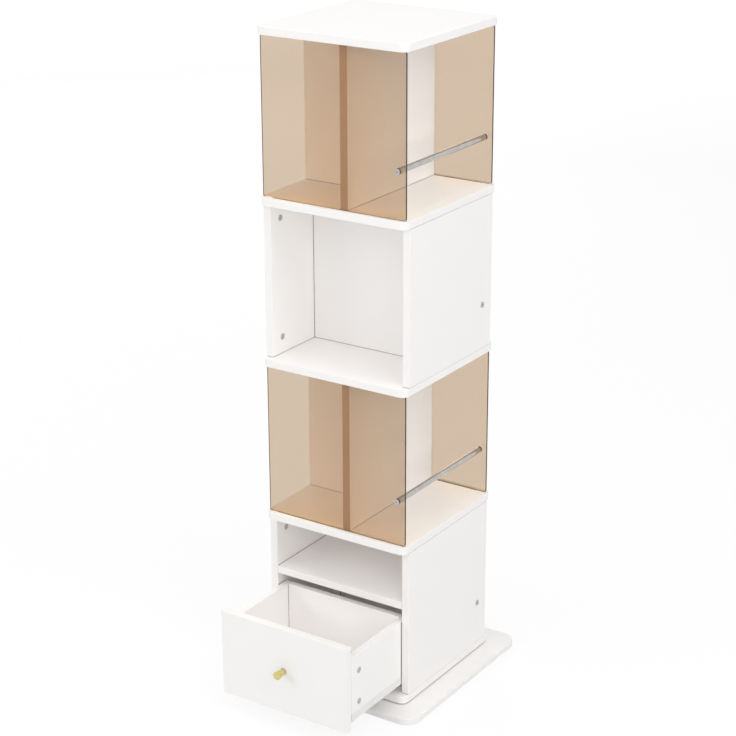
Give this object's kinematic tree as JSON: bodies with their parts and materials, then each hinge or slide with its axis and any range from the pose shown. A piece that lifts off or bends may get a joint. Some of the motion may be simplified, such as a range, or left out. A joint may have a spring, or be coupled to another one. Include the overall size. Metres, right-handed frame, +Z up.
{
  "type": "rotating display cabinet",
  "caption": "Tall square display tower that turns on a flat base: open white cubes and tiers with tinted acrylic panes, guard rods, and a drawer with a tapered brass knob",
  "frame": {"origin": "on the floor under the turning axis, the middle of the central foot pad's underside", "axes": "+Z up along the turning axis, -Y to the front where the drawer opens, +X to the right seen from the front"},
  "size_m": [0.395, 0.5385, 1.252],
  "materials": {
    "white_board": "satin white laminate on board",
    "amber_acrylic": "clear amber-brown acrylic, polished faces and edges",
    "steel_rod": "satin steel",
    "cam_zinc": "dull die-cast zinc",
    "screw_steel": "zinc-plated steel",
    "bearing_steel": "zinc-plated steel",
    "cage_plastic": "plain nylon",
    "rubber_foot": "matt rubber",
    "brass_knob": "satin pale brass",
    "slide_steel": "light grey powder coat",
    "beech": "plain beech"
  },
  "bodies": {
    "base": {"base_plate": "white_board", "foot_pads": "rubber_foot", "bearing_lower_ring": "bearing_steel", "bearing_balls": "bearing_steel", "ball_cage": "cage_plastic", "lower_ring_screws": "screw_steel"},
    "tower": {"bearing_upper_ring": "bearing_steel", "upper_ring_screws": "screw_steel", "bottom_slab": "white_board", "lower_slab": "white_board", "middle_slab": "white_board", "upper_slab": "white_board", "top_slab": "white_board", "drawer_bay_left_panel": "white_board", "drawer_bay_right_panel": "white_board", "drawer_bay_back_panel": "white_board", "drawer_bay_shelf": "white_board", "drawer_bay_guard_rod": "steel_rod", "slide_rail_left": "slide_steel", "slide_rail_right": "slide_steel", "slide_rail_screws": "screw_steel", "lower_front_pane": "amber_acrylic", "lower_rear_pane": "amber_acrylic", "lower_divider": "white_board", "lower_cross_panel": "white_board", "lower_guard_rod": "steel_rod", "cube_left_panel": "white_board", "cube_right_panel": "white_board", "cube_cross_panel": "white_board", "cube_guard_rod": "steel_rod", "upper_front_pane": "amber_acrylic", "upper_rear_pane": "amber_acrylic", "upper_divider": "white_board", "upper_cross_panel": "white_board", "upper_guard_rod": "steel_rod", "rod_end_screws": "steel_rod", "panel_cam_locks": "cam_zinc", "panel_cam_bolts": "screw_steel", "panel_dowels": "beech"},
    "left_slide": {"slide_middle_left": "slide_steel"},
    "right_slide": {"slide_middle_right": "slide_steel"},
    "drawer": {"drawer_front": "white_board", "drawer_left_side": "white_board", "drawer_right_side": "white_board", "drawer_back": "white_board", "drawer_bottom": "white_board", "drawer_knob": "brass_knob", "knob_screw": "screw_steel", "drawer_cam_locks": "cam_zinc", "drawer_cam_bolts": "screw_steel", "drawer_back_screws": "screw_steel", "drawer_rail_left": "slide_steel", "drawer_rail_right": "slide_steel", "drawer_rail_screws": "screw_steel"}
  },
  "joints": [
    {"name": "tower_spin", "type": "hinge", "parent": "base", "child": "tower", "pos_m": [0, 0, 0.016], "axis": [0, 0, 1], "continuous": true},
    {"name": "drawer_slide", "type": "slide", "parent": "tower", "child": "drawer", "axis": [0, -1, 0], "range_m": [-0.18, 0]},
    {"name": "left_slide_run", "type": "slide", "parent": "tower", "child": "left_slide", "axis": [0, -1, 0], "range_m": [-0.09, 0]},
    {"name": "right_slide_run", "type": "slide", "parent": "tower", "child": "right_slide", "axis": [0, -1, 0], "range_m": [-0.09, 0]}
  ],
  "couplings": [
    {"joint": "left_slide_run", "follows": "drawer_slide", "ratio": 0.5},
    {"joint": "right_slide_run", "follows": "drawer_slide", "ratio": 0.5}
  ]
}
